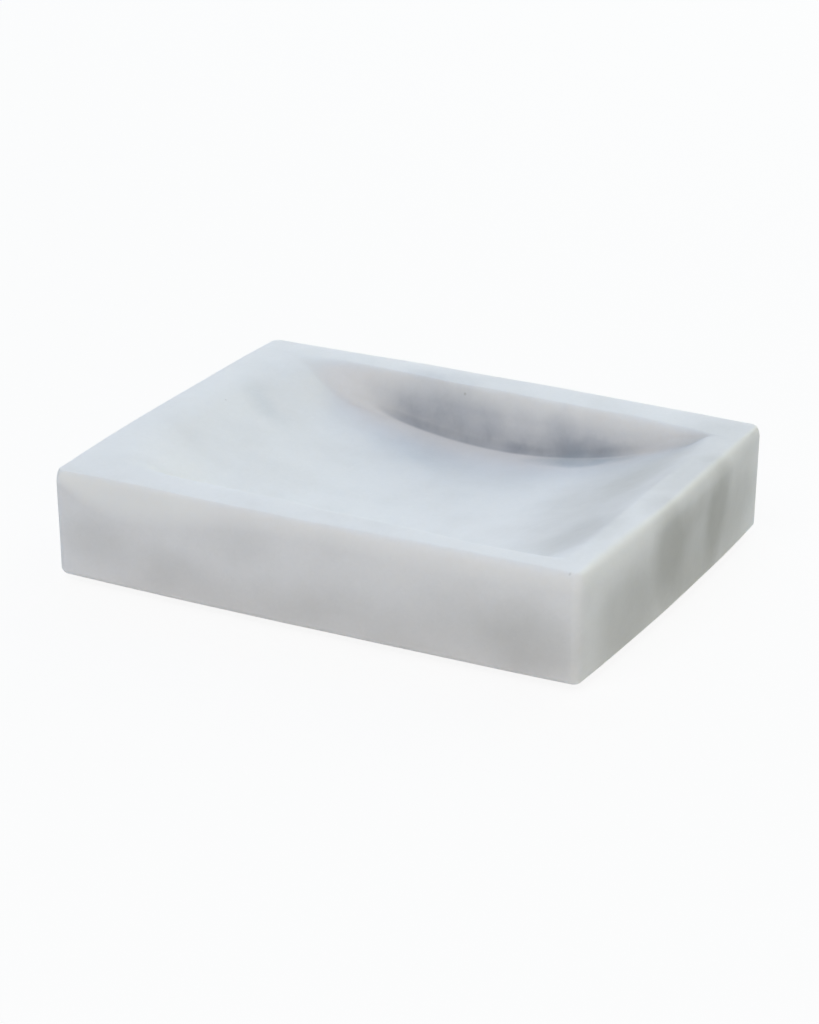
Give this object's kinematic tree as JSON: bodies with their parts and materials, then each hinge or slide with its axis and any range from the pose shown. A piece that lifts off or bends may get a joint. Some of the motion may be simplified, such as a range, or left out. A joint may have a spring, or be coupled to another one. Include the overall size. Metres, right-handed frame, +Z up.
{
  "type": "soap dish",
  "caption": "Rectangular stone soap dish: a low solid block with a scooped basin between straight leaning walls, resting on small anti-slip pads.",
  "frame": {"origin": "under the middle of the footprint, on the surface that the pads stand on", "axes": "+Z up; +X along the length of the dish; -Y is the long side seen from the front in the picture"},
  "size_m": [0.13, 0.1, 0.0265],
  "materials": {
    "marble": "honed white marble with soft grey clouds and veins",
    "pad": "milky clear soft polyurethane, satin"
  },
  "bodies": {
    "root": {"marble_dish": "marble", "pad_front_left": "pad", "pad_front_right": "pad", "pad_back_left": "pad", "pad_back_right": "pad"}
  },
  "joints": []
}
